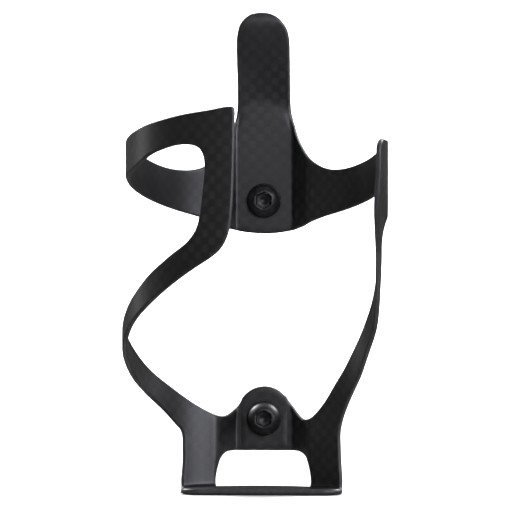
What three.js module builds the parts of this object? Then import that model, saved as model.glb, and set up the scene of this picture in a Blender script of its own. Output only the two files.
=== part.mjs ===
// Side-entry bicycle bottle cage, moulded in carbon laminate, held by two M5 button-head bolts.
// Millimetres, +Z up. The back pads lie on y = 0 and the bottle stands on the -Y side.
// Heights below are from the underside of the foot; ORIGIN_Z moves the finished part to its origin,
// which is on the back of the lower pad, 6 below the lower bolt.
// Every wall of the moulding follows one horizontal section: a flat pad, a steep fold on each side,
// then a round barrel. A point on it is (angle, z); the angle is in degrees from the back, + to the left.
import * as THREE from 'three';

// ---- driving dimensions ----
const WALL = 1.5;            // laminate of the barrel, straps and foot
const PAD_WALL = 2;          // laminate of the pads and tongue
const BARREL_R = 36.9;       // outside radius of the barrel, relaxed
const BARREL_Y = -42.5;      // barrel axis
const PAD_HALF = 8;          // half width of the flat pads
const FOLD_X = 14.2;         // where the folds meet the barrel
const BOLT_Z = [21, 85];     // bolt heights, 64 apart
const HOLE_R = 2.8;
const HEIGHT = 140;
const ORIGIN_Z = 15;
const FOOT = { half: 23, front: -22.5, wall: 1.5, corner: 4 };
const WASHER = { r: 5, hole: 2.8, wall: 1, back: -2.3 };
const BOLT = { r: 2.5, head: 4.75, top: 3.1, headBack: -3.6, headWall: 2.9, hex: 4, socket: 2.1, tip: 9 };

// ---- materials ----
const carbon = new THREE.MeshStandardMaterial({ color: 0x26272a, roughness: 0.45, metalness: 0 });
const steel = new THREE.MeshStandardMaterial({ color: 0x1c1c1e, roughness: 0.35, metalness: 0.9 });

// ---- the horizontal section ----
const rad = (deg) => deg * Math.PI / 180;

// Corners of the half section, moved inwards by `inset`: end of the pad and end of the fold.
function corners(inset) {
  const yf = BARREL_Y + Math.sqrt(BARREL_R ** 2 - FOLD_X ** 2);
  const len = Math.hypot(FOLD_X - PAD_HALF, yf);
  const dx = (FOLD_X - PAD_HALF) / len, dy = yf / len;
  const ax = PAD_HALF + dy * inset, ay = -dx * inset;
  const t1 = (-inset - ay) / dy;
  const r = BARREL_R - inset, bx = ax, by = ay - BARREL_Y;
  const b = bx * dx + by * dy;
  const t2 = -b + Math.sqrt(b * b - (bx * bx + by * by - r * r));
  const t3 = -b - Math.sqrt(b * b - (bx * bx + by * by - r * r));
  const t = Math.abs(t2 - len) < Math.abs(t3 - len) ? t2 : t3;
  return [[ax + dx * t1, ay + dy * t1], [ax + dx * t, ay + dy * t]];
}

// Distance from the barrel axis to the section at an angle, moved inwards by `inset`.
function reach(angle, inset) {
  const a = Math.abs(rad(angle));
  const [p, q] = corners(inset);
  const ap = Math.atan2(p[0], p[1] - BARREL_Y), aq = Math.atan2(q[0], q[1] - BARREL_Y);
  if (a <= ap) return (-inset - BARREL_Y) / Math.cos(a);
  if (a >= aq) return BARREL_R - inset;
  const dx = q[0] - p[0], dy = q[1] - p[1];
  const cross = Math.sin(a) * dy - Math.cos(a) * dx;
  return (p[0] * dy - (p[1] - BARREL_Y) * dx) / cross;
}

function onWall(angle, z, inset, draw = 0) {
  const r = reach(angle, inset) - draw;
  return new THREE.Vector3(-r * Math.sin(rad(angle)), BARREL_Y + r * Math.cos(rad(angle)), z);
}

// ---- building blocks ----
function meshOf(name, points, faces, material) {
  const g = new THREE.BufferGeometry();
  g.setAttribute('position', new THREE.Float32BufferAttribute(points.flatMap((p) => [p.x, p.y, p.z]), 3));
  g.setIndex(faces);
  const flat = g.toNonIndexed();
  flat.computeVertexNormals();
  const mesh = new THREE.Mesh(flat, material);
  mesh.name = name;
  return mesh;
}

// Smooth line through stations of any width, `per` steps from one to the next.
function smooth(stations, per) {
  const out = [];
  const last = stations.length - 1;
  for (let i = 0; i < last; i++) {
    const [p0, p1, p2, p3] = [i - 1, i, i + 1, i + 2].map((k) => stations[Math.min(last, Math.max(0, k))]);
    for (let j = 0; j < per; j++) {
      const t = j / per;
      out.push(p1.map((v, k) => {
        const m1 = (p2[k] - p0[k]) / (i === 0 ? 1 : 2), m2 = (p3[k] - v) / (i + 2 > last ? 1 : 2);
        return v * (2 * t ** 3 - 3 * t ** 2 + 1) + m1 * (t ** 3 - 2 * t ** 2 + t)
          + p2[k] * (-2 * t ** 3 + 3 * t ** 2) + m2 * (t ** 3 - t ** 2);
      }));
    }
  }
  out.push(stations[last]);
  return out;
}

// A wall between two edges. Each row holds one point of each edge; `skin(u, v, row, side)` gives the
// surface on the outside (0) and the inside (1).
function wallOf(name, rows, across, skin, material) {
  const n = rows.length, m = across + 1, points = [], faces = [];
  for (const side of [0, 1]) {
    for (const row of rows) {
      for (let j = 0; j < m; j++) {
        const t = j / across;
        points.push(skin(row[0] + (row[2] - row[0]) * t, row[1] + (row[3] - row[1]) * t, row, side));
      }
    }
  }
  const at = (side, i, j) => side * n * m + i * m + j;
  const quad = (a, b, c, d) => faces.push(a, b, c, a, c, d);
  for (let i = 0; i < n - 1; i++) {
    for (let j = 0; j < across; j++) {
      quad(at(0, i, j), at(0, i, j + 1), at(0, i + 1, j + 1), at(0, i + 1, j));
      quad(at(1, i, j), at(1, i + 1, j), at(1, i + 1, j + 1), at(1, i, j + 1));
    }
    quad(at(0, i, 0), at(0, i + 1, 0), at(1, i + 1, 0), at(1, i, 0));
    quad(at(0, i, across), at(1, i, across), at(1, i + 1, across), at(0, i + 1, across));
  }
  for (let j = 0; j < across; j++) {
    quad(at(0, 0, j), at(1, 0, j), at(1, 0, j + 1), at(0, 0, j + 1));
    quad(at(0, n - 1, j), at(0, n - 1, j + 1), at(1, n - 1, j + 1), at(1, n - 1, j));
  }
  return outward(meshOf(name, points, faces, material));
}

// Turns a closed mesh's faces outwards.
function outward(mesh) {
  const p = mesh.geometry.getAttribute('position');
  let volume = 0;
  const [a, b, c] = [new THREE.Vector3(), new THREE.Vector3(), new THREE.Vector3()];
  for (let i = 0; i < p.count; i += 3) {
    a.fromBufferAttribute(p, i);
    b.fromBufferAttribute(p, i + 1);
    c.fromBufferAttribute(p, i + 2);
    volume += a.dot(b.clone().cross(c));
  }
  if (volume < 0) {
    for (let i = 0; i < p.count; i += 3) {
      b.fromBufferAttribute(p, i + 1);
      c.fromBufferAttribute(p, i + 2);
      p.setXYZ(i + 1, c.x, c.y, c.z);
      p.setXYZ(i + 2, b.x, b.y, b.z);
    }
    mesh.geometry.computeVertexNormals();
  }
  return mesh;
}

// A strip of the moulding. A row is [angle, z, angle, z, draw-in]: its two edge points, and how far
// the strip is bowed in towards the bottle there.
function strip(name, rows, per, across) {
  const lines = smooth(rows.map((r) => (r.length === 5 ? r : [...r, 0])), per);
  return wallOf(name, lines, across, (u, v, row, side) => onWall(u, v, side * WALL, row[4]), carbon);
}

const mirrored = (rows) => rows.map(([a, z, b, y, d = 0]) => [-a, z, -b, y, d]);

// A flat plate from an outline in (x, z), its back on y = 0.
function plate(name, outline, wall, hole) {
  const shape = new THREE.Shape(outline.map(([x, z]) => new THREE.Vector2(x, z)));
  if (hole) {
    const ring = [];
    for (let i = 0; i < 36; i++) ring.push(new THREE.Vector2(
      HOLE_R * Math.cos(rad(-i * 10)), hole + HOLE_R * Math.sin(rad(-i * 10))));
    shape.holes.push(new THREE.Path(ring));
  }
  const g = new THREE.ExtrudeGeometry(shape, { depth: wall, bevelEnabled: false, curveSegments: 1 });
  g.rotateX(Math.PI / 2);
  const mesh = new THREE.Mesh(g, carbon);
  mesh.name = name;
  return mesh;
}

// A turned solid about a Y axis at height z. Rings are [radius, y, hexagonal?]; `closed` joins last to first.
function turned(name, z, rings, closed, material) {
  const n = 36, points = [], faces = [];
  for (const [r, y, hex] of rings) {
    for (let i = 0; i < n; i++) {
      const off = ((i * 10) % 60) - 30;
      const k = hex ? 1 / Math.cos(rad(off)) : 1;
      points.push(new THREE.Vector3(r * k * Math.cos(rad(i * 10)), y, z + r * k * Math.sin(rad(i * 10))));
    }
  }
  const count = closed ? rings.length : rings.length - 1;
  for (let k = 0; k < count; k++) {
    const a = k * n, b = ((k + 1) % rings.length) * n;
    for (let i = 0; i < n; i++) {
      const j = (i + 1) % n;
      faces.push(a + i, a + j, b + j, a + i, b + j, b + i);
    }
  }
  if (!closed) {
    points.push(new THREE.Vector3(0, rings[0][1], z), new THREE.Vector3(0, rings[rings.length - 1][1], z));
    const e = (rings.length - 1) * n;
    for (let i = 0; i < n; i++) {
      const j = (i + 1) % n;
      faces.push(points.length - 2, j, i, points.length - 1, e + i, e + j);
    }
  }
  return outward(meshOf(name, points, faces, material));
}

// ---- the moulding ----
// Neighbouring strips stop 0.3 apart. Both arms leave the same cross-piece and the same foot.
// Cross-piece behind the bottle: lower edge, then upper edge, falling away from the tongue and rising again.
const wingRoot = [
  [11.2, 76.4, 11.2, 111.5], [13.5, 76.8, 13.5, 105.8], [16, 77.3, 16, 102], [20, 78.1, 20, 98.3],
  [25, 79.2, 25, 95.7], [29.8, 80.2, 29.8, 94.3],
];
const wing = [
  [30.3, 80.3, 30.3, 94.2], [37, 81.3, 37, 93.6], [45, 82.5, 45, 93.8], [53, 83.8, 53, 94.6],
  [62, 85.3, 62, 96], [69.8, 86.6, 69.8, 97.3],
];
const sideBand = [
  [70.3, 86.7, 70.3, 97.4], [80, 88.4, 80, 98.7], [90, 90.2, 90, 99.9], [100, 91.5, 100, 101],
  [109.8, 92.5, 109.8, 102.1],
];
const frontBand = [
  [110.3, 92.6, 110.3, 102.2], [119, 94.1, 119, 103.3], [128, 96.4, 128, 104.5], [138, 98.1, 138, 105.8],
  [147, 99.1, 149, 107], [153, 99.1, 157, 107.7], [157, 98.4, 165, 108.3], [159.2, 97, 170.5, 108.6],
  [160.1, 95.4, 173.6, 107.9], [160.4, 93.8, 174.4, 105.5], [160.5, 92.2, 174.4, 103],
];
const frontStrap = [
  [160.4, 91.8, 174.4, 102.6], [160, 88.5, 173.7, 96], [159.4, 85, 172.6, 89], [158.8, 81.5, 171.7, 83],
  [158, 78.8, 170.9, 78.4], [156.9, 76.4, 170.3, 75.3],
];
const frontSweep = [
  [156.6, 76, 170.1, 74.9], [152.5, 72.7, 166.5, 70.6], [146, 69.9, 158, 66.8], [138, 66.7, 147, 62.8],
  [129.5, 63.2, 136, 58.5, -0.3], [121.5, 59.4, 127.5, 55.1, -0.6], [113.5, 55.9, 119, 52, -0.8],
  [106, 52.2, 111, 48.4, -1], [100.2, 49.8, 103.8, 45.7, -1],
];
const rearSweep = [
  [99.8, 49.6, 103.4, 45.5, -1], [90, 46.8, 93.5, 42.6, -1], [81.5, 44.4, 85, 39.5, -0.9],
  [73, 40.8, 77.5, 35.1, -0.7], [64.5, 37.2, 69, 32, -0.5], [55, 33.5, 59.5, 28.1, -0.2],
  [45.5, 30, 50.5, 24.3], [36, 26.4, 44.5, 21.6], [28.5, 24, 41.2, 19.6], [20, 21.9, 38.9, 17.7],
];
// Right-hand arm: the band ends in a rounded corner at the front, then a strap bowed in towards the bottle.
const shoulder = [
  [-70.3, 86.7, -70.3, 97.4], [-75, 87.1, -76, 98.2], [-80, 87, -83, 99.2], [-85, 86, -91, 100.2],
  [-88.5, 84.6, -98, 100.8], [-90.5, 83, -103, 100.2], [-91.4, 81.4, -105.6, 97.5], [-91.6, 80, -106, 92],
];
const sideStrap = [
  [-91.6, 79.6, -106, 91.5, 0], [-91.2, 78, -105.4, 86, 0.4], [-90.4, 76, -104, 80.5, 0.9],
  [-88.8, 73.6, -101, 76, 1.4], [-86.2, 70.8, -97.4, 71.6, 1.7], [-83.6, 67.8, -94.4, 67.4, 1.8],
];
const sideSweep = [
  [-83.4, 67.4, -94.1, 67, 1.8], [-81.6, 63.4, -91, 61.8, 1.8], [-77.8, 59, -87, 56.8, 1.9],
  [-72.5, 55, -81, 51.7, 2.2], [-66.5, 50.4, -74.5, 47.7, 2.4], [-59, 45, -67.2, 43.2, 2.3],
  [-51.5, 40, -60, 38.4, 1.9], [-44.5, 35.3, -54, 34, 1.4], [-38, 31.1, -48.5, 30, 0.9],
  [-32, 26.7, -43.8, 26.2, 0.4], [-26.5, 23.1, -40.2, 22.2, 0.1], [-20, 21.9, -38.9, 17.7, 0],
];
const leg = [
  [11.2, 11.5, 11.2, 24.9], [12.5, 11.5, 12.5, 23.2], [15, 11.5, 15, 21.8], [17, 11.3, 17, 21.4],
  [19, 10.7, 19.6, 21.5], [20.8, 9.4, 24, 20.7], [22, 7.6, 28, 19.8], [22.9, 5.4, 32, 18.9],
  [23.3, 3.4, 36, 18], [23.4, 1.9, 38.5, 17.4],
];
const legEdge = [
  [23.8, 1.9, 38.7, 17.3], [27, 1.9, 38.2, 14], [31, 1.9, 38, 10.5], [35, 1.9, 38.4, 7], [38, 1.9, 39, 4],
];
const legRows = [...smooth(leg, 2), ...smooth(legEdge, 2)];
const legSkin = (u, v, row, side) => onWall(u, v, side * WALL);

// ---- plates ----
function arc(cx, cz, r, from, to, steps) {
  const out = [];
  for (let i = 0; i <= steps; i++) {
    const a = rad(from + (to - from) * i / steps);
    out.push([cx + r * Math.cos(a), cz + r * Math.sin(a)]);
  }
  return out;
}
const padEdge = PAD_HALF - 0.15;
const upperPad = [
  ...[-1, -0.5, 0, 0.5, 1].map((k) => [k * padEdge, 75.5 + 0.8 * k * k]), [padEdge, 113.4], [-padEdge, 113.4],
];
const lowerPad = [[-padEdge, 11.5], [padEdge, 11.5], [padEdge, 24.6], ...arc(0, 22.4, 8, 18, 162, 16),
  [-padEdge, 24.6]];

// The tongue leans over the bottle and flares back at its tip.
const tongueRows = [
  [-7.7, 113.7, 7.7, 113.7, 0], [-7.6, 119, 7.6, 119, -1.2], [-7.6, 126, 7.6, 126, -3],
  [-7.5, 132, 7.5, 132, -4.6], [-7.1, 135, 7.1, 135, -5.3], [-6, 137.5, 6, 137.5, -5.7],
  [-4.2, 139.1, 4.2, 139.1, -5.4], [-1.8, HEIGHT, 1.8, HEIGHT, -5],
];
const tongue = wallOf('tongue', smooth(tongueRows, 3), 4,
  (x, z, row, side) => new THREE.Vector3(x, row[4] - side * PAD_WALL, z), carbon);

// The foot follows the barrel at the back and has rounded front corners. Its stations run across it.
const footX = [4, 8, 12, 15, 17.5, 19, 20.4, 21.6, 22.5, FOOT.half];
const footRows = [...footX.map((x) => -x).reverse(), ...footX].map((x) => {
  const past = Math.max(0, Math.abs(x) - FOOT.half + FOOT.corner);
  return [x, BARREL_Y + Math.sqrt(BARREL_R ** 2 - x ** 2),
    x, FOOT.front + FOOT.corner - Math.sqrt(FOOT.corner ** 2 - past ** 2)];
});
const foot = wallOf('foot_shelf', footRows, 2,
  (x, y, row, side) => new THREE.Vector3(x, y, side * FOOT.wall), carbon);

// ---- fasteners ----
function bolt(name, z) {
  const { r, head, top, headBack, headWall, hex, socket, tip } = BOLT;
  const y = headBack, face = headBack - headWall;
  return turned(name, z, [
    [r - 0.6, tip, false], [r, tip - 0.6, false], [r, y, false], [head, y, false], [head, y - 0.5, false],
    [head - 0.35, y - 1.4, false], [head - 0.95, y - 2.3, false], [top, face, false],
    [hex / 2 + 0.3, face, true], [hex / 2, face + 0.3, true], [hex / 2, face + socket, true],
    [1, face + socket + 0.4, false],
  ], false, steel);
}
function washer(name, z) {
  const { r, hole, wall, back } = WASHER;
  return turned(name, z, [[r, back], [r, back - wall], [hole, back - wall], [hole, back]], true, steel);
}

const cage = new THREE.Group();
cage.name = 'bottle_cage';
cage.add(
  plate('upper_pad', upperPad, PAD_WALL, BOLT_Z[1]),
  tongue,
  strip('left_wing_root', wingRoot, 2, 8),
  strip('left_wing', wing, 2, 4),
  strip('left_side_band', sideBand, 3, 4),
  strip('front_band', frontBand, 2, 5),
  strip('front_strap', frontStrap, 2, 4),
  strip('left_front_sweep', frontSweep, 2, 4),
  strip('left_rear_sweep', rearSweep, 2, 4),
  plate('lower_pad', lowerPad, PAD_WALL, BOLT_Z[0]),
  wallOf('left_leg', legRows, 6, legSkin, carbon),
  wallOf('right_leg', mirrored(legRows), 6, legSkin, carbon),
  foot,
  strip('right_wing_root', mirrored(wingRoot), 2, 8),
  strip('right_wing', mirrored(wing), 2, 4),
  strip('right_shoulder', shoulder, 2, 5),
  strip('right_strap', sideStrap, 2, 4),
  strip('right_sweep', sideSweep, 2, 4),
  washer('lower_washer', BOLT_Z[0]),
  bolt('lower_bolt', BOLT_Z[0]),
  washer('upper_washer', BOLT_Z[1]),
  bolt('upper_bolt', BOLT_Z[1]),
);
for (const piece of cage.children) piece.geometry.translate(0, 0, -ORIGIN_Z);

export default cage;
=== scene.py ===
"""Looks for a side-entry bicycle bottle cage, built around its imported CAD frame.

The moulding is four continuous laminate skins (upper bracket, lower bracket, left arm, right arm), each a
pair of matching surfaces closed by rounded rims. Sizes are in millimetres until a mesh is made, and heights
are from the underside of the foot. A point on the moulding is (angle, height): the angle is in degrees round
the barrel from the back, + to the left.
"""

import math

import bmesh
import bpy
import numpy as np
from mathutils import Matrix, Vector


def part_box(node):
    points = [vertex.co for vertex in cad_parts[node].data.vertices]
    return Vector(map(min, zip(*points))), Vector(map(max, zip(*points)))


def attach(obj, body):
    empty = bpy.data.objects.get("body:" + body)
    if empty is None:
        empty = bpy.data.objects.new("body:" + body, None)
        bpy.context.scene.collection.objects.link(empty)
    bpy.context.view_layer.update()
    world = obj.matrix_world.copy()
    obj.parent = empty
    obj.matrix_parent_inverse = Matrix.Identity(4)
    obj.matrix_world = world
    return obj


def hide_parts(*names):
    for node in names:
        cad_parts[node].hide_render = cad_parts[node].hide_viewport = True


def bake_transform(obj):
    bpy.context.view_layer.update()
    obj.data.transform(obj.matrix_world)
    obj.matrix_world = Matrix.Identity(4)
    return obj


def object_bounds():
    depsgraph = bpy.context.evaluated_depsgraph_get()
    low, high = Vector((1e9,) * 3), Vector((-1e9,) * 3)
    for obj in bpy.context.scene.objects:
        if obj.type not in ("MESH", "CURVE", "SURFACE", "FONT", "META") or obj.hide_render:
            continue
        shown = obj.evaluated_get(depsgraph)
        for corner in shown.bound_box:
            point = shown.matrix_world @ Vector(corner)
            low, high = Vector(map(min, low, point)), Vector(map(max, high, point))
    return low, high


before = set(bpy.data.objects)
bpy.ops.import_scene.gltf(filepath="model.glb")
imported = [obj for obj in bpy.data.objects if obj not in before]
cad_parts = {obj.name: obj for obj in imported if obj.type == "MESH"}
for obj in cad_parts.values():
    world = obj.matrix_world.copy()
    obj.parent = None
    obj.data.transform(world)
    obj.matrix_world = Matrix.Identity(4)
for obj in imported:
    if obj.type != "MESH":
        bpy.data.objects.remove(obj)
cad_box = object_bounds()


def box(node):
    low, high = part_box(node)
    return np.array(low) * 1000, np.array(high) * 1000


# ---- driving dimensions in millimetres, from the frame where it has them ----
BASE = box("foot_shelf")[0][2]
BARREL_R = -box("left_side_band")[0][0]
BARREL_Y = -42.5
PAD_WALL, WALL = 2.0, 1.5
PAD_HALF, FOLD_X = 8.8, 14.2        # ends of the flat pad and of the fold, on the back
FLAT_X = 6.6                        # the pad is a plain plane up to here
RIM = 0.5                           # rounding of the moulding's edges
HAIRLINE = 0.02                     # gap between faces that rest on each other
BOLTS = {name: (box(name)[0][2] + box(name)[1][2]) / 2 - BASE for name in ("lower_bolt", "upper_bolt")}
HOLE_R, HOLE_RIM = 2.8, 0.25        # the bolt holes, and the rounding of their edges
ROUND_FOOT = 0.32                   # what the foot's ends add to the rounding
FOOT = {"half": 23.4, "front": box("foot_shelf")[0][1], "corner": 5.0, "bend": 2.7, "wall": 1.7}
ACROSS = 20                         # quads across an arm
SEAM = 12.5                         # the arms leave the upper bracket at this angle, on the straight fold
LEG_ROOT = 20                       # the root of each leg joins the leg inside the wall at this angle


def smoothstep(t):
    t = np.clip(t, 0, 1)
    return t * t * (3 - 2 * t)


# ---- the horizontal section ----
def section(pad_in, wall_in):
    """The half section moved inwards: where the pad ends, where the fold ends, and the barrel's radius."""
    top = BARREL_Y + math.sqrt(BARREL_R ** 2 - FOLD_X ** 2)
    length = math.hypot(FOLD_X - PAD_HALF, top)
    d = np.array([FOLD_X - PAD_HALF, top]) / length
    a = np.array([PAD_HALF, 0.0]) + wall_in * np.array([d[1], -d[0]])
    p = a + d * ((-pad_in - a[1]) / d[1])
    rel, r = a - [0, BARREL_Y], BARREL_R - wall_in
    root = math.sqrt((rel @ d) ** 2 - (rel @ rel - r * r))
    t = min((-(rel @ d) + root, -(rel @ d) - root), key=lambda s: abs(s - length))
    return p, a + d * t, r


SKINS = [(0.0, 0.0), (PAD_WALL, WALL)]
SECTIONS = [section(*s) for s in SKINS]
# the half width of each skin's rounded creases against the angle, both in degrees
SOFT = [([14.5, 18], [1.5, 2.0]), ([14, 18], [0.45, 2.5])]


def reach_sharp(a, side):
    """Distance of a skin from the barrel's axis at an angle in radians, with sharp creases."""
    p, q, r = SECTIONS[side]
    a = np.abs(a)
    dx, dy = q - p
    pad = (-SKINS[side][0] - BARREL_Y) / np.cos(a)
    fold = (p[0] * dy - (p[1] - BARREL_Y) * dx) / (np.sin(a) * dy - np.cos(a) * dx)
    ends = math.atan2(p[0], p[1] - BARREL_Y), math.atan2(q[0], q[1] - BARREL_Y)
    return np.where(a <= ends[0], pad, np.where(a >= ends[1], r, fold))


def skin(angle, z, draw=0.0, side=0):
    """Points of the outside (0) or inside (1) skin, bowed in towards the bottle by `draw`."""
    angle, z = np.broadcast_arrays(np.asarray(angle, float), np.asarray(z, float))
    width = np.interp(np.abs(angle), *SOFT[side])
    steps = (np.arange(10) + 0.5) / 5 - 1
    r = sum(reach_sharp(np.radians(angle + width * s), side) for s in steps) / len(steps) - draw
    a = np.radians(angle)
    return np.stack([-r * np.sin(a), BARREL_Y + r * np.cos(a), z], -1)


def angle_at(x):
    """Angle of the pad's back at x; + x is to the right."""
    return -math.degrees(math.atan2(x, -BARREL_Y))


# ---- curves ----
def spline(t, v, at):
    """Natural cubic through the knots (t, v), read at `at`."""
    t, v, at = np.asarray(t, float), np.asarray(v, float), np.asarray(at, float)
    n, h = len(t), np.diff(t)
    a, rhs = np.zeros((n, n)), np.zeros(v.shape)
    a[0, 0] = a[-1, -1] = 1
    for i in range(1, n - 1):
        a[i, i - 1:i + 2] = h[i - 1], 2 * (h[i - 1] + h[i]), h[i]
        rhs[i] = 6 * ((v[i + 1] - v[i]) / h[i] - (v[i] - v[i - 1]) / h[i - 1])
    m = np.linalg.solve(a, rhs)
    k = np.clip(np.searchsorted(t, at) - 1, 0, n - 2)
    shape = (-1,) + (1,) * (v.ndim - 1)
    hk = h[k].reshape(shape)
    p = ((t[k + 1] - at) / h[k]).reshape(shape)
    q = ((at - t[k]) / h[k]).reshape(shape)
    return p * v[k] + q * v[k + 1] + ((p ** 3 - p) * m[k] + (q ** 3 - q) * m[k + 1]) * hk ** 2 / 6


def millimetres(points):
    """(angle, height) pairs as distances, near enough for spacing."""
    return np.asarray(points, float)[..., :2] * [BARREL_R * math.pi / 180, 1]


def along(knots, count=None, step=1.0, first=0, last=None):
    """Even steps along a smooth line through `knots`, from knot `first` to knot `last`. Rows of four numbers
    are two edges at once."""
    knots = np.asarray(knots, float)
    last = len(knots) - 1 if last is None else last
    gaps = np.linalg.norm(np.diff(millimetres(knots), axis=0), axis=1)
    if knots.shape[1] > 3:
        gaps = (gaps + np.linalg.norm(np.diff(millimetres(knots[:, 2:4]), axis=0), axis=1)) / 2
    t = np.concatenate([[0], np.cumsum(gaps)])
    count = count or max(2, int(round((t[last] - t[first]) / step)))
    return spline(t, knots, np.linspace(t[first], t[last], count + 1))


# ---- a wall made of two matching skins ----
class Wall:
    """Quads between matching points of the outside and inside skins; patches that share points are joined."""

    SAME = 0.02                     # points closer than this are one
    QUARTER = np.radians([22.5, 45, 67.5, 90])
    REACH = 4                       # the skins draw back over this many rim sizes, to leave room for the rim

    def __init__(self):
        self.outer, self.inner, self.faces = [], [], []

    def patch(self, outer, inner):
        """Adds a grid of matching points."""
        rows, columns = outer.shape[:2]
        start = len(self.outer)
        self.outer += list(outer.reshape(-1, 3))
        self.inner += list(inner.reshape(-1, 3))
        at = lambda i, j: start + i * columns + j
        self.faces += [(at(i, j), at(i, j + 1), at(i + 1, j + 1), at(i + 1, j))
                       for i in range(rows - 1) for j in range(columns - 1)]

    def joined(self):
        """Outer points, inner points and faces with doubles merged and every face turned outwards."""
        bm = bmesh.new()
        layer = bm.verts.layers.float_vector.new("inner")
        verts = [bm.verts.new(p) for p in self.outer]
        for v, q in zip(verts, self.inner):
            v[layer] = q
        for f in self.faces:
            bm.faces.new([verts[k] for k in f])
        bmesh.ops.remove_doubles(bm, verts=bm.verts[:], dist=self.SAME)
        bmesh.ops.recalc_face_normals(bm, faces=bm.faces[:])
        middle = bm.faces[:][len(bm.faces) // 2].verts[0]
        bm.normal_update()
        if middle.normal.dot(middle.co - Vector(middle[layer])) < 0:
            bmesh.ops.reverse_faces(bm, faces=bm.faces[:])
        bm.verts.index_update()
        outer = np.array([v.co for v in bm.verts])
        inner = np.array([v[layer] for v in bm.verts])
        faces = [[v.index for v in f.verts] for f in bm.faces]
        edges = [(e.link_loops[0].vert.index, e.link_loops[0].link_loop_next.vert.index)
                 for e in bm.edges if e.is_boundary]
        bm.free()
        return outer, inner, faces, edges

    def close(self, name, material, is_seam=lambda a, b: False, rim_of=lambda p: RIM):
        """Rounds every free edge, leaves seams square, and returns the closed piece. Each point's `wear`
        grows from none on the skins to one along the middle of a rim."""
        outer, inner, faces, edges = self.joined()
        through = outer - inner
        through /= np.linalg.norm(through, axis=1)[:, None]
        seams = [e for e in edges if is_seam(outer[e[0]], outer[e[1]])]
        seam_points = {k for e in seams for k in e}
        rims = [e for e in edges if e not in set(seams)]
        away = {}
        for a, b in rims:
            t = outer[b] - outer[a]
            out = np.cross(t, through[a] + through[b])
            out /= np.linalg.norm(out)
            for k in (a, b):
                away[k] = away.get(k, []) + [out]
        direction, size = {}, {}
        for k, outs in away.items():
            d = sum(outs)
            d /= np.linalg.norm(d)
            d /= max(0.6, d @ outs[0])
            size[k] = rim_of(outer[k])
            if k in seam_points:
                mate = next(e[0] if e[1] == k else e[1] for e in seams if k in e)
                s = outer[k] - outer[mate]
                s /= np.linalg.norm(s)
                d = s / max(0.5, s @ (d / np.linalg.norm(d)))
            direction[k] = d
        keys = list(direction)
        rim_points = outer[keys]
        rim_push = np.array([direction[k] * size[k] for k in keys])
        rim_size = np.array([size[k] for k in keys])
        new_outer, new_inner = outer.copy(), inner.copy()
        for k, p in enumerate(outer):
            gap = np.linalg.norm(rim_points - p, axis=1)
            n = int(gap.argmin())
            fade = max(0.0, 1 - gap[n] / (self.REACH * rim_size[n]))
            new_outer[k] = p - rim_push[n] * fade
            new_inner[k] = inner[k] - rim_push[n] * fade
        points, count = list(new_outer) + list(new_inner), len(outer)
        polygons = [list(f) for f in faces] + [[count + k for k in reversed(f)] for f in faces]
        arcs, wear = {}, [0.0] * len(points)
        for k in keys:
            thick = float(np.linalg.norm(outer[k] - inner[k]))
            r, n, push = min(size[k], thick * 0.48), through[k], direction[k] * size[k]
            arc = [k]
            for a, start, down in ([(a, new_outer[k], -1) for a in self.QUARTER]
                                   + [(a, new_inner[k], 1) for a in self.QUARTER[::-1]]):
                arc.append(len(points))
                points.append(start + push * math.sin(a) + down * n * r * (1 - math.cos(a)))
                wear.append(math.sin(a) ** 2)
            arcs[k] = arc + [count + k]
        for a, b in rims:
            for i in range(len(arcs[a]) - 1):
                polygons.append([arcs[b][i], arcs[a][i], arcs[a][i + 1], arcs[b][i + 1]])
        for a, b in seams:
            polygons.append([b, a, count + a, count + b])
        for k in seam_points & set(keys):
            starts = any(e[0] == k for e in rims)
            polygons.append(arcs[k] if starts else arcs[k][::-1])
        obj = piece(name, points, polygons, material)
        obj.data.attributes.new("wear", "FLOAT", "POINT").data.foreach_set("value", wear)
        return obj


def piece(name, points, polygons, material, sharp=52):
    """A mesh object in the frame's metres, smooth but for edges over `sharp` degrees. Its UV is the distance
    round the section and the height, in metres, for the weave."""
    points = np.array(points, float)
    mesh = bpy.data.meshes.new(name)
    placed = np.clip((points + [0, 0, BASE]) / 1000, *cad_box)
    mesh.from_pydata(placed.tolist(), [], polygons)
    bm = bmesh.new()
    bm.from_mesh(mesh)
    bmesh.ops.recalc_face_normals(bm, faces=bm.faces[:])
    for face in bm.faces:
        face.smooth = True
    for edge in bm.edges:
        edge.smooth = edge.calc_face_angle(0) < math.radians(sharp)
    bm.to_mesh(mesh)
    bm.free()
    mesh.update()
    round_section = np.arctan2(-points[:, 0], points[:, 1] - BARREL_Y) * BARREL_R
    flat = mesh.uv_layers.new(name="weave")
    coords = np.stack([round_section, points[:, 2]], -1) / 1000
    for polygon in mesh.polygons:
        around = coords[[mesh.loops[i].vertex_index for i in polygon.loop_indices]]
        if np.ptp(around[:, 0]) > 0.1:
            around[around[:, 0] < 0, 0] += 2 * math.pi * BARREL_R / 1000
        for i, uv in zip(polygon.loop_indices, around):
            flat.data[i].uv = uv
    mesh.materials.append(material)
    obj = bpy.data.objects.new(name, mesh)
    bpy.context.scene.collection.objects.link(obj)
    return obj


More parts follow.
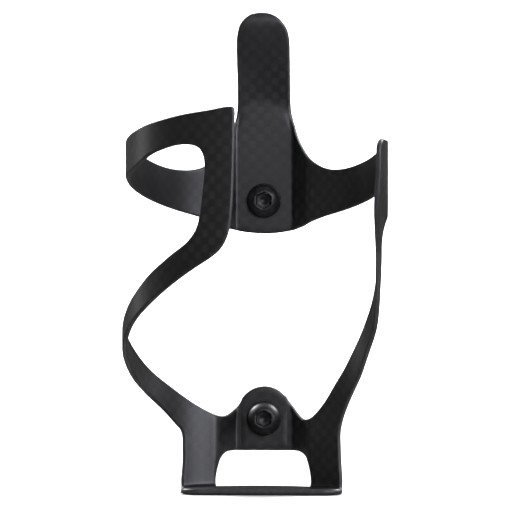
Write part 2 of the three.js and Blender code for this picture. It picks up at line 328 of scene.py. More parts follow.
# ---- materials ----
class Nodes:
    """Short calls for building a node tree. An input is given by its name, or by i and its number."""

    def __init__(self, name):
        self.material = bpy.data.materials.new(name)
        self.material.use_nodes = True
        self.tree = self.material.node_tree
        self.shader = self.tree.nodes["Principled BSDF"]

    def add(self, kind, settings=None, **inputs):
        node = self.tree.nodes.new(kind)
        for key, value in (settings or {}).items():
            setattr(node, key, value)
        for key, value in inputs.items():
            numbered = key[0] == "i" and key[1:].isdigit()
            self.set(node, int(key[1:]) if numbered else key.replace("_", " "), value)
        return node

    def set(self, node, socket, value):
        if hasattr(value, "bl_idname") or isinstance(value, bpy.types.NodeSocket):
            out = value if isinstance(value, bpy.types.NodeSocket) else value.outputs[0]
            self.tree.links.new(out, node.inputs[socket])
        else:
            node.inputs[socket].default_value = value

    def math(self, operation, a, b=0.0, c=0.0):
        return self.add("ShaderNodeMath", {"operation": operation}, i0=a, i1=b, i2=c)

    def mix(self, factor, a, b):
        node = self.add("ShaderNodeMix", {"data_type": "RGBA"})
        for k, v in ((0, factor), (6, a), (7, b)):
            self.set(node, k, v)
        return node.outputs[2]

    def mapped(self, value, low, high, to_low, to_high):
        return self.add("ShaderNodeMapRange", i0=value, i1=low, i2=high, i3=to_low, i4=to_high)


def carbon_material():
    """Plain-woven carbon under a satin lacquer, its tows crowned across their width. The weave carries
    painted sheen: the tows that run one way are painted lighter, most along their crowns, and more in some
    places than in others. Also a slow drift in tone, fine surface texture, and rims rubbed lighter and
    duller."""
    n = Nodes("carbon_weave")
    tow = 0.00205                       # width of a tow, in metres
    # the light tone is painted sheen, for warp tows catching the light; the dark tone is the carbon itself
    dark, light = (0.0052, 0.0052, 0.0054, 1), (0.0138, 0.0138, 0.0142, 1)
    dusty, bare = (0.0170, 0.0170, 0.0176, 1), (0.045, 0.045, 0.046, 1)
    uv = n.add("ShaderNodeUVMap", {"uv_map": "weave"})
    split = n.add("ShaderNodeSeparateXYZ", i0=uv.outputs[0])
    at = n.add("ShaderNodeTexCoord").outputs["Object"]
    wobble = n.add("ShaderNodeTexNoise", Vector=at, Scale=160.0, Detail=1.0)
    shift = n.math("MULTIPLY_ADD", wobble.outputs[0], 0.24, -0.12)
    u = n.math("ADD", n.math("DIVIDE", split.outputs[0], tow), shift)
    v = n.math("ADD", n.math("DIVIDE", split.outputs[1], tow), shift)
    iu, iv = n.math("FLOOR", u), n.math("FLOOR", v)
    step = n.math("FLOORED_MODULO", n.math("SUBTRACT", iu, iv), 2.0)
    warp = n.math("LESS_THAN", step, 0.5)
    crown_u = n.math("SINE", n.math("MULTIPLY", n.math("FRACT", u), math.pi))
    crown_v = n.math("SINE", n.math("MULTIPLY", n.math("FRACT", v), math.pi))
    crown = n.math("ADD", n.math("MULTIPLY", warp, crown_u),
                   n.math("MULTIPLY", n.math("SUBTRACT", 1.0, warp), crown_v))
    stretched = n.add("ShaderNodeVectorMath", {"operation": "MULTIPLY"}, i0=at, i1=(9000, 9000, 700))
    fibres = n.add("ShaderNodeTexNoise", Scale=1.0, Detail=2.0, Vector=stretched)
    drift = n.add("ShaderNodeTexNoise", Vector=at, Scale=45.0, Detail=3.0)
    fine = n.add("ShaderNodeTexNoise", Vector=at, Scale=2600.0, Detail=2.0)
    patchy = n.add("ShaderNodeTexNoise", Vector=at, Scale=85.0, Detail=1.0)
    # painted sheen: the warp tows are painted lighter, brightest along their crowns and stronger in some
    # patches than in others
    sheen_patches = n.mapped(patchy.outputs[0], 0.38, 0.62, 0.42, 1.0)
    seen = n.math("MULTIPLY", n.mapped(crown, 0.0, 1.0, 0.35, 1.0), sheen_patches)
    tone = n.mix(n.math("MULTIPLY", warp, seen), dark, light)
    tone = n.mix(n.mapped(drift.outputs[0], 0.3, 0.75, 0.0, 0.30), tone, dusty)
    edge = n.add("ShaderNodeAttribute", {"attribute_name": "wear"}).outputs["Fac"]
    rubbed = n.math("MULTIPLY", edge, n.mapped(drift.outputs[0], 0.35, 0.65, 0.08, 0.5))
    n.set(n.shader, "Base Color", n.mix(rubbed, tone, bare))
    lacquer = n.mapped(fine.outputs[0], 0.3, 0.7, 0.34, 0.40)
    rough = n.math("ADD", lacquer, n.mapped(warp, 0.0, 1.0, 0.0, 0.012))
    rough = n.math("ADD", rough, n.mapped(drift.outputs[0], 0.3, 0.7, -0.03, 0.04))
    n.set(n.shader, "Roughness", n.math("MULTIPLY_ADD", edge, 0.2, rough))
    height = n.math("MULTIPLY", crown, 0.000006)
    height = n.math("ADD", height, n.math("MULTIPLY", fibres.outputs[0], 0.000003))
    height = n.math("ADD", height, n.math("MULTIPLY", fine.outputs[0], 0.000004))
    bump = n.add("ShaderNodeBump", Strength=1.0, Distance=1.0, Height=height)
    n.set(n.shader, "Normal", bump)
    n.shader.inputs["IOR"].default_value = 1.52
    n.shader.inputs["Coat Weight"].default_value = 0.35
    n.shader.inputs["Coat Roughness"].default_value = 0.28
    return n.material


def steel_material(name, tone, rough):
    """Black-oxide steel: fine grain, blotches in tone, corners worn towards bare metal."""
    n = Nodes(name)
    at = n.add("ShaderNodeTexCoord").outputs["Object"]
    grain = n.add("ShaderNodeTexNoise", Vector=at, Scale=5200.0, Detail=3.0)
    blotch = n.add("ShaderNodeTexNoise", Vector=at, Scale=420.0, Detail=4.0)
    pointed = n.add("ShaderNodeNewGeometry").outputs["Pointiness"]
    uneven = n.mapped(blotch.outputs[0], 0.35, 0.6, 0.3, 1.0)
    worn = n.math("MULTIPLY", n.mapped(pointed, 0.56, 0.68, 0.0, 0.7), uneven)
    dark, light, bare = tone + (1,), tuple(c * 1.7 for c in tone) + (1,), (0.22, 0.22, 0.23, 1)
    base = n.mix(n.mapped(blotch.outputs[0], 0.3, 0.7, 0.0, 1.0), dark, light)
    n.set(n.shader, "Base Color", n.mix(worn, base, bare))
    n.shader.inputs["Metallic"].default_value = 0.85
    n.set(n.shader, "Roughness", n.mapped(grain.outputs[0], 0.3, 0.7, rough - 0.05, rough + 0.07))
    bump = n.add("ShaderNodeBump", Strength=0.5, Distance=0.00001, Height=grain.outputs[0])
    n.set(n.shader, "Normal", bump)
    return n.material


carbon = carbon_material()
bolt_steel = steel_material("black_oxide_bolt", (0.030, 0.030, 0.031), 0.40)
washer_steel = steel_material("black_oxide_washer", (0.011, 0.011, 0.012), 0.42)

# ---- the arms. Each row is (angle, height) of one edge, then of the other, then the bow towards the bottle;
# the right arm also twists, so its last number is the second edge's extra bow. The first SHARED rows
# are the wing, which both arms have. ----
LEFT_ARM = [
    (12.5, 76.4, 12.5, 106.8, 0), (14, 76.7, 14, 104, 0), (16, 77.1, 16, 101.4, 0), (20, 78, 20, 98, 0),
    (25, 79.2, 25, 95.5, 0), (30, 80.2, 30, 94, 0), (37, 81.3, 37, 93.3, 0), (45, 82.5, 45, 93.5, 0),
    (53, 83.8, 53, 94.3, 0), (62, 85.3, 62, 95.7, 0), (70, 86.7, 70, 97.1, 0), (80, 88.4, 80, 98.7, 0),
    (90, 90.2, 90, 99.9, 0), (100, 91.5, 100, 101, 0), (110, 92.6, 110, 102.2, 0), (119, 94.1, 119, 103.3, 0),
    (128, 96.4, 128, 104.5, 0), (138, 98.1, 138, 105.6, 0), (147, 99.1, 149, 106.75, 0),
    (153, 99.1, 157, 107.4, 0), (157, 98.4, 164.5, 108.1, 0), (159.2, 97, 170, 108.7, 0),
    (160.1, 95.4, 172.9, 108.4, 0),
    (160.4, 93.8, 173.2, 106, 0), (160.45, 92, 173.1, 103, 0), (160, 88.5, 172.8, 96, 0),
    (159.4, 85, 172.4, 89, 0), (158.8, 81.5, 171.9, 83, 0), (158, 78.8, 171.2, 78.4, 0),
    (156.7, 76.2, 170.2, 75.1, 0), (152.5, 72.7, 166.5, 70.6, 0), (146, 69.9, 158, 66.8, 0),
    (138, 66.7, 147, 62.8, 0), (129.5, 63.2, 136, 58.5, -0.3), (121.5, 59.4, 127.5, 55.1, -0.6),
    (113.5, 55.9, 119, 52, -0.8), (106, 52.2, 111, 48.7, -1), (100, 49.7, 103.6, 45.7, -1),
    (90, 46.5, 93.5, 42, -1), (81.5, 43.9, 85, 38.6, -0.9), (73, 40.7, 77.5, 35.3, -0.7),
    (64.5, 37.2, 69, 31.9, -0.5), (55, 33.5, 59.5, 28.1, -0.2), (45.5, 30, 50.5, 24.3, 0),
    (36, 26.4, 45, 21.3, 0), (28.5, 24, 42, 19.3, 0), (20, 22, 40, 17.4, 0), (12, 22.4, 39.4, 14, 0),
]
LEFT_ARM = [row + (0,) for row in LEFT_ARM]
SHARED = 11


def mirrored(row):
    """A row of the left wing as the right one has it, a little higher away from the pad."""
    angle, low, _, high = row[:4]
    low += 0.4 * min(1, (angle - SEAM) / 5)
    high += 0.7 * min(1, max(0, angle - 32) / 20)
    return -angle, low, -angle, high, 0, 0


RIGHT_ARM = [mirrored(row) for row in LEFT_ARM[:SHARED]] + [
    (-75, 87.1, -76, 98.7, 0, 0), (-80, 87, -83, 99.9, 0, 0), (-85, 86, -91, 100.75, 0, 0),
    (-88.5, 84.6, -98.5, 100.8, 0, 0), (-90.5, 83, -105.2, 100.7, 0, 0), (-91.4, 81.4, -108, 99.3, 0, 0),
    (-91.6, 79.8, -108.2, 92.6, 0.1, 0), (-91.3, 78, -107.4, 86.2, 0.7, 0),
    (-90.3, 76, -105.4, 80.7, 1.25, 0), (-88.5, 73.6, -102, 76.1, 1.6, 0),
    (-86.3, 70.8, -98.4, 71.7, 1.7, 0.1), (-84.1, 67.6, -95, 67.3, 1.65, 0.3),
    (-81.2, 63.4, -91.1, 61.8, 1.65, 0.45), (-77.6, 59, -86.9, 56.8, 1.85, 0.35),
    (-73, 55, -81.2, 51.7, 2.05, 0.2),
    (-66.4, 50.8, -74.8, 47.7, 2.1, 0), (-58.4, 45.4, -67.2, 43.2, 2, 0), (-50.9, 40.5, -60, 38.4, 1.7, 0),
    (-44, 35.7, -54, 34, 1.2, 0), (-37.7, 31.3, -48.5, 30, 0.8, 0), (-32, 26.8, -43.9, 26.2, 0.4, 0),
    (-26, 23, -40.6, 22.2, 0.1, 0), (-20, 21, -38.7, 17.6, 0, 0), (-13, 21.6, -38.7, 14, 0, 0),
]
SHARE = (np.arange(ACROSS + 1) / ACROSS) ** 1.2      # places across an arm, closer at its first edge


def ribbon(rows):
    """Matching skins of a strip whose rows are two edge points, the bow and the twist."""
    angle = rows[:, 0:1] + (rows[:, 2:3] - rows[:, 0:1]) * SHARE
    z = rows[:, 1:2] + (rows[:, 3:4] - rows[:, 1:2]) * SHARE
    draw = rows[:, 4:5] + rows[:, 5:6] * SHARE
    return skin(angle, z, draw, 0), skin(angle, z, draw, 1)


def rows_of_arm(knots, first, second):
    """Fine rows of an arm down to its leg, closer where it leaves the upper bracket, and the place where the
    lower bracket takes over. The two edges stand `first` and `second` mm proud of the knots, but for the
    ends."""
    root_knots, low_rows = 5, 12
    root_fade, leg_fade = 14, 10        # rows over which the extra width grows from nothing
    root = along(knots, step=0.45, last=root_knots)
    rest = along(knots, step=1.0, first=root_knots, last=len(knots) - 2)
    rows = np.vstack([root, rest[1:]])
    mm = np.array([BARREL_R * math.pi / 180, 1])
    way = (rows[:, 2:4] - rows[:, 0:2]) * mm
    way /= np.linalg.norm(way, axis=1)[:, None]
    at = np.arange(len(rows))
    fade = (smoothstep(at / root_fade) * smoothstep((len(rows) - 1 - at) / leg_fade))[:, None]
    rows[:, 0:2] -= way / mm * first * fade
    rows[:, 2:4] += way / mm * second * fade
    return rows, len(rows) - low_rows


# ---- the lower bracket: pad, roots of the legs, legs, bends and foot ----
CORNER = {1: [(19, 10.05), (LEG_ROOT, 9.3), (20.6, 8.4), (21.4, 7), (22.1, 5.4), (22.5, 4),
              (22.6, FOOT["bend"])],
          -1: [(19, 10.45), (LEG_ROOT, 9.8), (20.7, 8.9), (21.6, 7.4), (22.4, 5.5), (22.8, 4),
               (22.9, FOOT["bend"])]}
OUTLINE = {1: [(39.4, 14), (39.3, 10.5), (39.6, 7), (40.1, 4), (40.2, FOOT["bend"])],
           -1: [(38.7, 14), (38.9, 10.5), (39.3, 7), (39.7, 4), (39.8, FOOT["bend"])]}


def leg_edges(side, arm):
    """Rows of a leg below the arm. side is 1 on the left. The inner edge first runs inside the wall, where
    the root of the leg joins it, then round the corner of the window; the outer edge is the outline."""
    inside = [(LEG_ROOT, z) for z in np.linspace(arm[-1][1], CORNER[side][1][1], 15)]
    inner = np.array(inside + list(along(CORNER[side], count=12, first=1)[1:]))
    before = [(abs(r[2]), r[3]) for r in arm[[-9, -5, -1]]]
    outer = along(before + OUTLINE[side], count=len(inner) - 1, first=2)
    rows = np.zeros((len(inner), 6))
    rows[:, 0:2] = inner * [side, 1]
    rows[:, 2:4] = outer * [side, 1]
    return rows


def foot_bend(angle, side):
    """A line of points from the leg's foot at `angle` round the bend to the foot's underside or top."""
    turn = 1 - smoothstep((abs(angle) - 24) / 14)
    way = np.array([math.sin(math.radians(angle)) * turn, -math.cos(math.radians(angle))])
    way /= np.linalg.norm(way)
    wall = skin(angle, 0.0, 0.0, side)[:2]
    level = FOOT["wall"] if side else 0.0
    radius, drop = FOOT["bend"] - (WALL if side else 0), FOOT["bend"] - level
    phi = np.radians(np.linspace(0, 90, 9))
    flat = wall + np.outer(radius * (1 - np.cos(phi)), way)
    return np.column_stack([flat, level + drop * (1 - np.sin(phi))])


def front_of(x, half):
    """Where the column of the foot that starts at x ends on its front edge."""
    straight = FOOT["half"] - FOOT["corner"]
    if abs(x) <= straight:
        return np.array([x, FOOT["front"]])
    a = (abs(x) - straight) / (half - straight) * math.pi / 2
    return np.array([math.copysign(straight + FOOT["corner"] * math.sin(a), x),
                     FOOT["front"] + FOOT["corner"] * (1 - math.cos(a))])


def lower_bracket(arms):
    """The wall of the lower bracket, given the low rows of the left and right arms."""
    wall = Wall()
    pad_edge = abs(angle_at(FLAT_X))
    window_top, top_centre, top_r = 11.5, 22.4, 8.0
    lines = {}
    shoulders = {1: [(pad_edge, 26.92), (10.1, 25.2), (11.3, 24.15), (12.5, 23.4), (15, 22.3), (17, 21.95)],
                 -1: [(pad_edge, 27.2), (10.1, 25.75), (11.3, 24.7), (12.5, 23.7), (15, 22), (17, 21.25)]}
    for side, arm in ((1, arms[0]), (-1, arms[1])):
        leg = leg_edges(side, arm)
        wall.patch(*ribbon(arm))
        wall.patch(*ribbon(leg))
        angles = np.linspace(pad_edge, LEG_ROOT, 27)
        after = (abs(arm[-6][0]), arm[-6][1])
        top = spline(*np.array(shoulders[side] + [(LEG_ROOT, leg[0][1]), after]).T, angles)
        window = [(8, window_top), (12.5, window_top), (15, 11.45), (17, 11.1)] + CORNER[side][:3]
        low = spline(*np.array(window).T, angles)
        share = np.linspace(1, 0, 15)
        z = low[:, None] + (top - low)[:, None] * share
        angle = np.broadcast_to(side * angles[:, None], z.shape)
        skins = [skin(angle, z, 0.0, s) for s in (0, 1)]
        for s in (0, 1):
            skins[s][0, :, 0] = -side * FLAT_X
            skins[s][0, :, 1] = -SKINS[s][0]
        wall.patch(*skins)
        lines[side] = z[0]
        across = leg[-1, 0] + (leg[-1, 2] - leg[-1, 0]) * SHARE
        ends = [np.stack([foot_bend(a, s) for a in across]) for s in (0, 1)]
        wall.patch(*ends)
        lines[side, "bend"] = [e[:, -1] for e in ends]
    # the flat of the pad, in rings round the bolt hole
    left, right = lines[1], lines[-1]
    ends = math.asin((right[0] - top_centre) / top_r), math.pi - math.asin((left[0] - top_centre) / top_r)
    arc = np.linspace(*ends, 15)
    outline = [(FLAT_X, z) for z in right[::-1]]
    outline += [(top_r * math.cos(a), top_centre + top_r * math.sin(a)) for a in arc[1:-1]]
    outline += [(-FLAT_X, z) for z in left]
    outline += [(x, right[-1]) for x in np.linspace(-FLAT_X, FLAT_X, 13)[1:]]
    ring_patch(wall, outline, BOLTS["lower_bolt"])
    # the foot, from one bend to the other; between the legs its back edge is free
    radius = BARREL_R - FOOT["bend"]
    skins = []
    inner_angle = np.linspace(CORNER[1][-1][0], -CORNER[-1][-1][0], 25)[1:-1]
    for s in (0, 1):
        level = FOOT["wall"] if s else 0.0
        a_left, a_right = lines[1, "bend"][s], lines[-1, "bend"][s]
        a = np.radians(inner_angle)
        free = np.stack([-radius * np.sin(a), BARREL_Y + radius * np.cos(a), np.full(a.shape, level)], -1)
        back = np.vstack([a_left[::-1], free, a_right])
        rows = []
        for p in back:
            f = front_of(p[0], abs(back[0 if p[0] < 0 else -1, 0]))
            rows.append([np.array([*(p[:2] + (f - p[:2]) * t), level]) for t in np.linspace(0, 1, 11)])
        skins.append(np.array(rows))
    wall.patch(*skins)
    return wall


def ring_patch(wall, outline, hole_z):
    """A flat ring from the bolt hole at hole_z to a closed outline of (x, z) points."""
    outline = np.array(outline + outline[:1])
    a = np.arctan2(outline[:, 1] - hole_z, outline[:, 0])
    hole = np.stack([HOLE_R * np.cos(a), hole_z + HOLE_R * np.sin(a)], -1)
    share = np.array([0, 0.1, 0.25, 0.45, 0.7, 1.0])[:, None, None]
    flat = hole + (outline - hole) * share
    levels = [np.full(flat.shape[:2], -SKINS[s][0]) for s in (0, 1)]
    wall.patch(*[np.stack([flat[..., 0], level, flat[..., 1]], -1) for level in levels])


# ---- the upper bracket: pad, folds and tongue ----
# the tongue's lean at each height
LEAN = [(112.9, 0), (114.5, -0.08), (116.5, -0.42), (119, -1), (126, -2.95), (132, -4.55), (135, -5.2),
        (137.5, -5.55), (139.1, -5.4), (140.5, -5.0)]


def lean(x, z):
    """How far the tongue leans over the bottle. It starts along an arch across the pad."""
    heights, leans = np.array(LEAN).T
    at = z + 0.045 * x ** 2 * (1 - smoothstep((z - 117) / 14))
    leaning = spline(heights, leans, np.clip(at, heights[0], heights[-1]).ravel())
    return np.where(at > heights[0], leaning.reshape(at.shape), 0.0)


def upper_bracket():
    """The wall of the upper bracket. Its strips end at `shelf`, where the rows of the tongue begin."""
    wall = Wall()
    pad_edge, shelf = abs(angle_at(FLAT_X)), 92.0
    x_per_degree = 0.72                 # along a strip, near enough for its lower edge
    strips = np.linspace(pad_edge, SEAM, 13)
    levels = np.linspace(0, 1, 19)

    def bottom(x):
        """Height of the pad's lower edge, which is 0.8 higher where x is 7.85."""
        return 75.3 + 0.8 * (np.abs(x) / 7.85) ** 2

    def skins_of(angle, z):
        out = [skin(angle, z, 0.0, s) for s in (0, 1)]
        for points in out:
            points[..., 1] += lean(points[..., 0], points[..., 2])
        return out

    for side in (1, -1):
        low = bottom(FLAT_X + (strips - pad_edge) * x_per_degree)[:, None]
        z = low + (shelf - low) * levels
        wall.patch(*snapped(skins_of(np.broadcast_to(side * strips[:, None], z.shape), z), side))
    sides = bottom(FLAT_X) + (shelf - bottom(FLAT_X)) * levels
    xs = np.linspace(-FLAT_X, FLAT_X, 13)
    outline = [(FLAT_X, z) for z in sides] + [(x, shelf) for x in xs[::-1][1:-1]]
    outline += [(-FLAT_X, z) for z in sides[::-1]] + [(x, bottom(x)) for x in xs[1:-1]]
    ring_patch(wall, outline, BOLTS["upper_bolt"])

    # above the ring: straight rows, whose ends follow the seam, then the tongue's side
    seam_top = LEFT_ARM[0][3]
    left_edge = [(SEAM, seam_top), (11.8, 108.2), (11.2, 110), (10.8, 112), (10.68, 114.2), (10.62, 117),
                 (10.62, 120.6), (10.75, 124), (10.8, 127)]
    right_edge = [(SEAM, seam_top), (11.8, 108.2), (11.1, 110), (10.62, 112), (10.5, 114.2), (10.42, 117),
                  (10.42, 120.6), (10.4, 124), (10.38, 127)]
    flanks = [[(SEAM, z) for z in np.linspace(shelf, seam_top, 17)] + list(along(edge, count=22)[1:])
              for edge in (left_edge, right_edge)]
    rows = []
    for left, right in zip(*flanks):
        share = np.linspace(0, 1, 13)[1:]
        row = [(-(pad_edge + (left[0] - pad_edge) * t), left[1]) for t in share[::-1]]
        row += [(-angle_at(x), left[1] + (right[1] - left[1]) * (x / FLAT_X + 1) / 2) for x in xs]
        row += [(pad_edge + (right[0] - pad_edge) * t, right[1]) for t in share]
        rows.append(row)
    rows = np.array(rows)
    tip = np.array([(-8.11, 127), (-8.15, 129.5), (-8.1, 132), (-7.7, 134.6), (-7, 136.6), (-5.9, 138.1),
                    (-4.4, 139.25), (-2.6, 139.85), (-0.5, 140), (1.6, 139.8), (3.4, 139.15), (5, 138),
                    (6.4, 136.3), (7.3, 134.2), (7.68, 132), (7.78, 129.5), (7.78, 127)])
    inset = 2.2                         # the last row's ends, in from those of the tip's outline
    length = np.concatenate([[0], np.cumsum(np.linalg.norm(np.diff(tip, axis=0), axis=1))])
    top = spline(length, tip, np.linspace(inset, length[-1] - inset, rows.shape[1]))
    top = np.stack([[-angle_at(x) for x in top[:, 0]], top[:, 1]], -1)
    last = rows[-1]
    tip_rows = [last + (top - last) * t for t in np.linspace(0, 1, 13)[1:]]
    rows = np.concatenate([rows, np.array(tip_rows)])
    wall.patch(*skins_of(-rows[..., 0], rows[..., 1]))
    return wall


def snapped(skins, side):
    """The strip's first line put exactly on the edge of the pad's flat."""
    for s in (0, 1):
        skins[s][0, :, 0] = -side * FLAT_X
        skins[s][0, :, 1] = -SKINS[s][0]
    return skins


# ---- fasteners: M5 x 0.8 button-head bolts with a hex socket, on washers ----
PITCH, CREST_R, THREAD_DEPTH = 0.8, 2.47, 0.46
TIP, SHANK = 9.0, -1.2              # where the bolt ends, and where its thread does
FACE, SOCKET = -6.5, 4.0            # the head's face, and the socket's width across its flats
WASHER_BORE, WASHER_R, WASHER_FRONT = 2.85, 5.0, -3.3


def lathe(name, rings, centre, material, closed=False, around=96, sharp=40):
    """A turned piece about a Y axis. Each ring is a function of the angle that gives (radius, y)."""
    points, polygons = [], []
    for ring in rings:
        for i in range(around):
            a = 2 * math.pi * i / around
            r, y = ring(a)
            points.append((r * math.cos(a), y, centre + r * math.sin(a)))
    count = len(rings)
    for k in range(count if closed else count - 1):
        p, q = k * around, (k + 1) % count * around
        polygons += [[p + i, p + (i + 1) % around, q + (i + 1) % around, q + i] for i in range(around)]
    if not closed:
        for k in (0, count - 1):
            points.append((0, rings[k](0)[1], centre))
            polygons += [[k * around + i, k * around + (i + 1) % around, len(points) - 1]
                         for i in range(around)]
    return piece(name, points, polygons, material, sharp)


def plain(r, y):
    return lambda a: (r, y)


def hexagon(flats, y):
    """A six-sided ring, measured across its flats."""
    def ring(a):
        off = (a + math.pi / 6) % (math.pi / 3) - math.pi / 6
        return flats / 2 / math.cos(off), y
    return ring


def thread(y):
    """A ring of right-hand thread, seen from the head, with flats on its crests and roots."""
    def ring(a):
        at = (y / PITCH + a / (2 * math.pi)) % 1
        return CREST_R - THREAD_DEPTH * min(1, max(0, abs(2 * at - 1) * 1.25 - 0.12)), y
    return ring


def bolt(name, centre):
    back = WASHER_FRONT - HAIRLINE
    rings = [plain(1.5, TIP), plain(1.95, TIP - 0.25)]
    rings += [thread(y) for y in np.arange(TIP - 0.5, SHANK, -PITCH / 8)]
    rings += [plain(2.4, -1.35), plain(2.45, -2.0), plain(2.5, -3.1), plain(2.65, back)]
    rings += [plain(4.45, back), plain(4.62, back - 0.06), plain(4.75, back - 0.2), plain(4.75, back - 0.55)]
    dome = [(4.72, -4.0), (4.62, -4.35), (4.45, -4.75), (4.22, -5.15), (3.94, -5.55), (3.62, -5.9),
            (3.3, -6.18), (3.1, -6.32), (2.95, -6.42), (2.8, -6.48), (2.66, FACE)]
    rings += [plain(*p) for p in dome]
    socket = [(0.55, 0.02), (0.25, 0.16), (0.06, 0.42), (0, 0.6), (0, 1.75), (-0.1, 1.85)]
    rings += [hexagon(SOCKET + wider, FACE + deep) for wider, deep in socket]
    drilled = [(1.3, 1.88), (1.15, 1.92), (0.6, 2.3), (0.3, 2.36)]
    rings += [plain(r, FACE + deep) for r, deep in drilled]
    return lathe(name, rings, centre, bolt_steel)


def washer(name, centre):
    seat, bore, edge, front = -PAD_WALL - HAIRLINE, WASHER_BORE, WASHER_R, WASHER_FRONT
    profile = [(bore, seat - 0.12), (bore + 0.12, seat), (edge - 0.15, seat), (edge, seat - 0.12),
               (edge, front + 0.18), (edge - 0.06, front + 0.06), (edge - 0.18, front),
               (bore + 0.12, front), (bore, front + 0.12)]
    return lathe(name, [plain(*p) for p in profile], centre, washer_steel, closed=True)


# ---- the pieces ----
def angle_of(p):
    return math.degrees(math.atan2(-p[0], p[1] - BARREL_Y))


def on_angle(value):
    """A test for edges that lie on the line at that angle."""
    def test(a, b):
        return all(abs(abs(angle_of(p)) - value) < 0.02 for p in (a, b))
    return test


def on_row(row):
    """A test for edges that lie along one row of an arm."""
    def test(a, b):
        for p in (a, b):
            t = (angle_of(p) - row[0]) / (row[2] - row[0])
            if not -0.02 < t < 1.02 or abs(row[1] + (row[3] - row[1]) * t - p[2]) > 0.03:
                return False
        return True
    return test


def rim_size(p):
    """Rounding at a point of the brackets: small at a bolt hole, nearly a full round at the foot's ends."""
    if abs(p[0]) < 3 and any(abs(p[2] - z) < 3 for z in BOLTS.values()):
        return HOLE_RIM
    return RIM + ROUND_FOOT * float(smoothstep((abs(p[0]) - 17) / 4) * smoothstep((4 - p[2]) / 3))


arms, seams = [], []
for knots, spare in ((LEFT_ARM, (0.3, 0.42)), (RIGHT_ARM, (0.45, 0.4))):
    rows, cut = rows_of_arm(knots, *spare)
    arms.append((rows[:cut + 1], rows[cut:]))
    seams.append(rows[cut])

upper = upper_bracket().close("upper_bracket", carbon, on_angle(SEAM), rim_size)
lower = lower_bracket([a[1] for a in arms]).close(
    "lower_bracket", carbon, lambda a, b: on_row(seams[0])(a, b) or on_row(seams[1])(a, b), rim_size)
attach(upper, "bracket")
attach(lower, "bracket")
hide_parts("upper_pad", "tongue")
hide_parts("lower_pad", "left_leg", "right_leg", "foot_shelf")

# The arms, each a piece of its own from the seam at the upper bracket down to the row where the lower bracket
# takes over.
ARM_NODES = {
    "left_arm": ["left_wing_root", "left_wing", "left_side_band", "front_band", "front_strap",
                 "left_front_sweep", "left_rear_sweep"],
    "right_arm": ["right_wing_root", "right_wing", "right_shoulder", "right_strap", "right_sweep"],
}
for (rows, _), seam, name, side in zip(arms, seams, ("left_arm", "right_arm"), (-1, 1)):
    wall = Wall()
    wall.patch(*ribbon(rows))
    obj = wall.close(name, carbon, lambda a, b: on_angle(SEAM)(a, b) or on_row(seam)(a, b))
    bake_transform(obj)
    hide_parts(*ARM_NODES[name])

for where in ("lower", "upper"):
    for kind, make in {"bolt": bolt, "washer": washer}.items():
        obj = make(f"{where}_{kind}_visual", BOLTS[f"{where}_bolt"])
        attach(obj, f"{where}_{kind}_body")
        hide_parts(f"{where}_{kind}")

# ---- stage, in metres ----
FLOOR_GAP = 0.0002
SWEEP = {"front": -2.2, "turn": 1.4, "radius": 0.7, "top": 3.0, "half": 2.6, "tone": 0.86}


def plate(name, points, faces, tone):
    """A smooth matt surface. The object's gloss doesn't see it, as if black flags stood before it."""
    mesh = bpy.data.meshes.new(name)
    mesh.from_pydata(points, [], faces)
    for polygon in mesh.polygons:
        polygon.use_smooth = True
    n = Nodes(name)
    at = n.add("ShaderNodeTexCoord").outputs["Object"]
    soft = n.add("ShaderNodeTexNoise", Vector=at, Scale=9.0, Detail=3.0)
    n.set(n.shader, "Base Color", n.mix(soft.outputs[0], (tone,) * 3 + (1,), (tone * 0.985,) * 3 + (1,)))
    n.shader.inputs["Roughness"].default_value = 0.9
    n.shader.inputs["Specular IOR Level"].default_value = 0.1
    mesh.materials.append(n.material)
    obj = bpy.data.objects.new(name, mesh)
    bpy.context.scene.collection.objects.link(obj)
    obj.visible_glossy = False


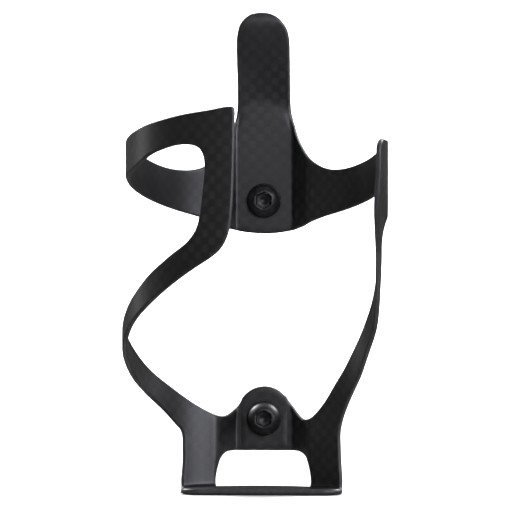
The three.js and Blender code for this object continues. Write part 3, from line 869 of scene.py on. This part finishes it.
floor_z = cad_box[0].z - FLOOR_GAP
turn, radius = SWEEP["turn"], SWEEP["radius"]
profile = [(SWEEP["front"], floor_z), (turn, floor_z)]
profile += [(turn + radius * math.sin(a), floor_z + radius * (1 - math.cos(a)))
            for a in np.linspace(0.1, math.pi / 2, 16)]
profile += [(turn + radius, SWEEP["top"])]
sweep_points = [(x, y, z) for y, z in profile for x in (-SWEEP["half"], SWEEP["half"])]
sweep_faces = [(2 * k, 2 * k + 1, 2 * k + 3, 2 * k + 2) for k in range(len(profile) - 1)]
plate("studio_sweep", sweep_points, sweep_faces, SWEEP["tone"])


def area(name, place, target, size, power, tone=(1, 1, 1)):
    """A rectangular soft light that faces its target."""
    data = bpy.data.lights.new(name, "AREA")
    data.shape, data.size, data.size_y = "RECTANGLE", size[0], size[1]
    data.energy, data.color = power, tone
    obj = bpy.data.objects.new(name, data)
    obj.location = place
    obj.rotation_euler = (Vector(target) - Vector(place)).to_track_quat("-Z", "Y").to_euler()
    bpy.context.scene.collection.objects.link(obj)


middle = (cad_box[0] + cad_box[1]) / 2
cool, backdrop = (0.89, 0.90, 1.0), (0.0, 2.0, 0.3)
area("key", (0.86, -0.60, 0.30), middle, (0.5, 0.8), 5.9, cool)
area("front", (0.30, -0.84, 0.32), middle, (0.24, 0.30), 4.2, cool)
area("rim", (-0.85, 0.35, 0.30), middle, (0.25, 0.8), 0.6)
area("side", (1.0, 0.22, 0.20), middle, (0.3, 0.7), 0.6, cool)
area("overhead", (0.0, 0.25, 1.1), middle, (1.0, 0.8), 2.2)
area("backdrop_left", (-1.1, 0.9, 1.2), backdrop, (0.8, 0.8), 90.0)
area("backdrop_right", (1.1, 0.9, 1.2), backdrop, (0.8, 0.8), 90.0)

world = bpy.data.worlds.new("studio")
bpy.context.scene.world = world
world.use_nodes = True
world.node_tree.nodes["Background"].inputs[0].default_value = (1, 1, 1, 1)
world.node_tree.nodes["Background"].inputs[1].default_value = 0.10
bpy.context.scene.view_settings.view_transform = "Standard"

# ---- camera: level with the middle of the cage, turned a little, with a long lens ----
TURN, DISTANCE = math.radians(3.1), 0.9
AIM = Vector((-0.00283, 0, (69 + BASE) / 1000))
look = Vector((-math.sin(TURN), math.cos(TURN), 0))
camera = bpy.data.objects.new("camera", bpy.data.cameras.new("camera"))
camera.location = AIM - look * DISTANCE
camera.rotation_euler = look.to_track_quat("-Z", "Y").to_euler()
camera.data.sensor_width, camera.data.lens = 36, 215.4
camera.data.clip_start, camera.data.clip_end = 0.05, 20
bpy.context.scene.collection.objects.link(camera)
bpy.context.scene.camera = camera
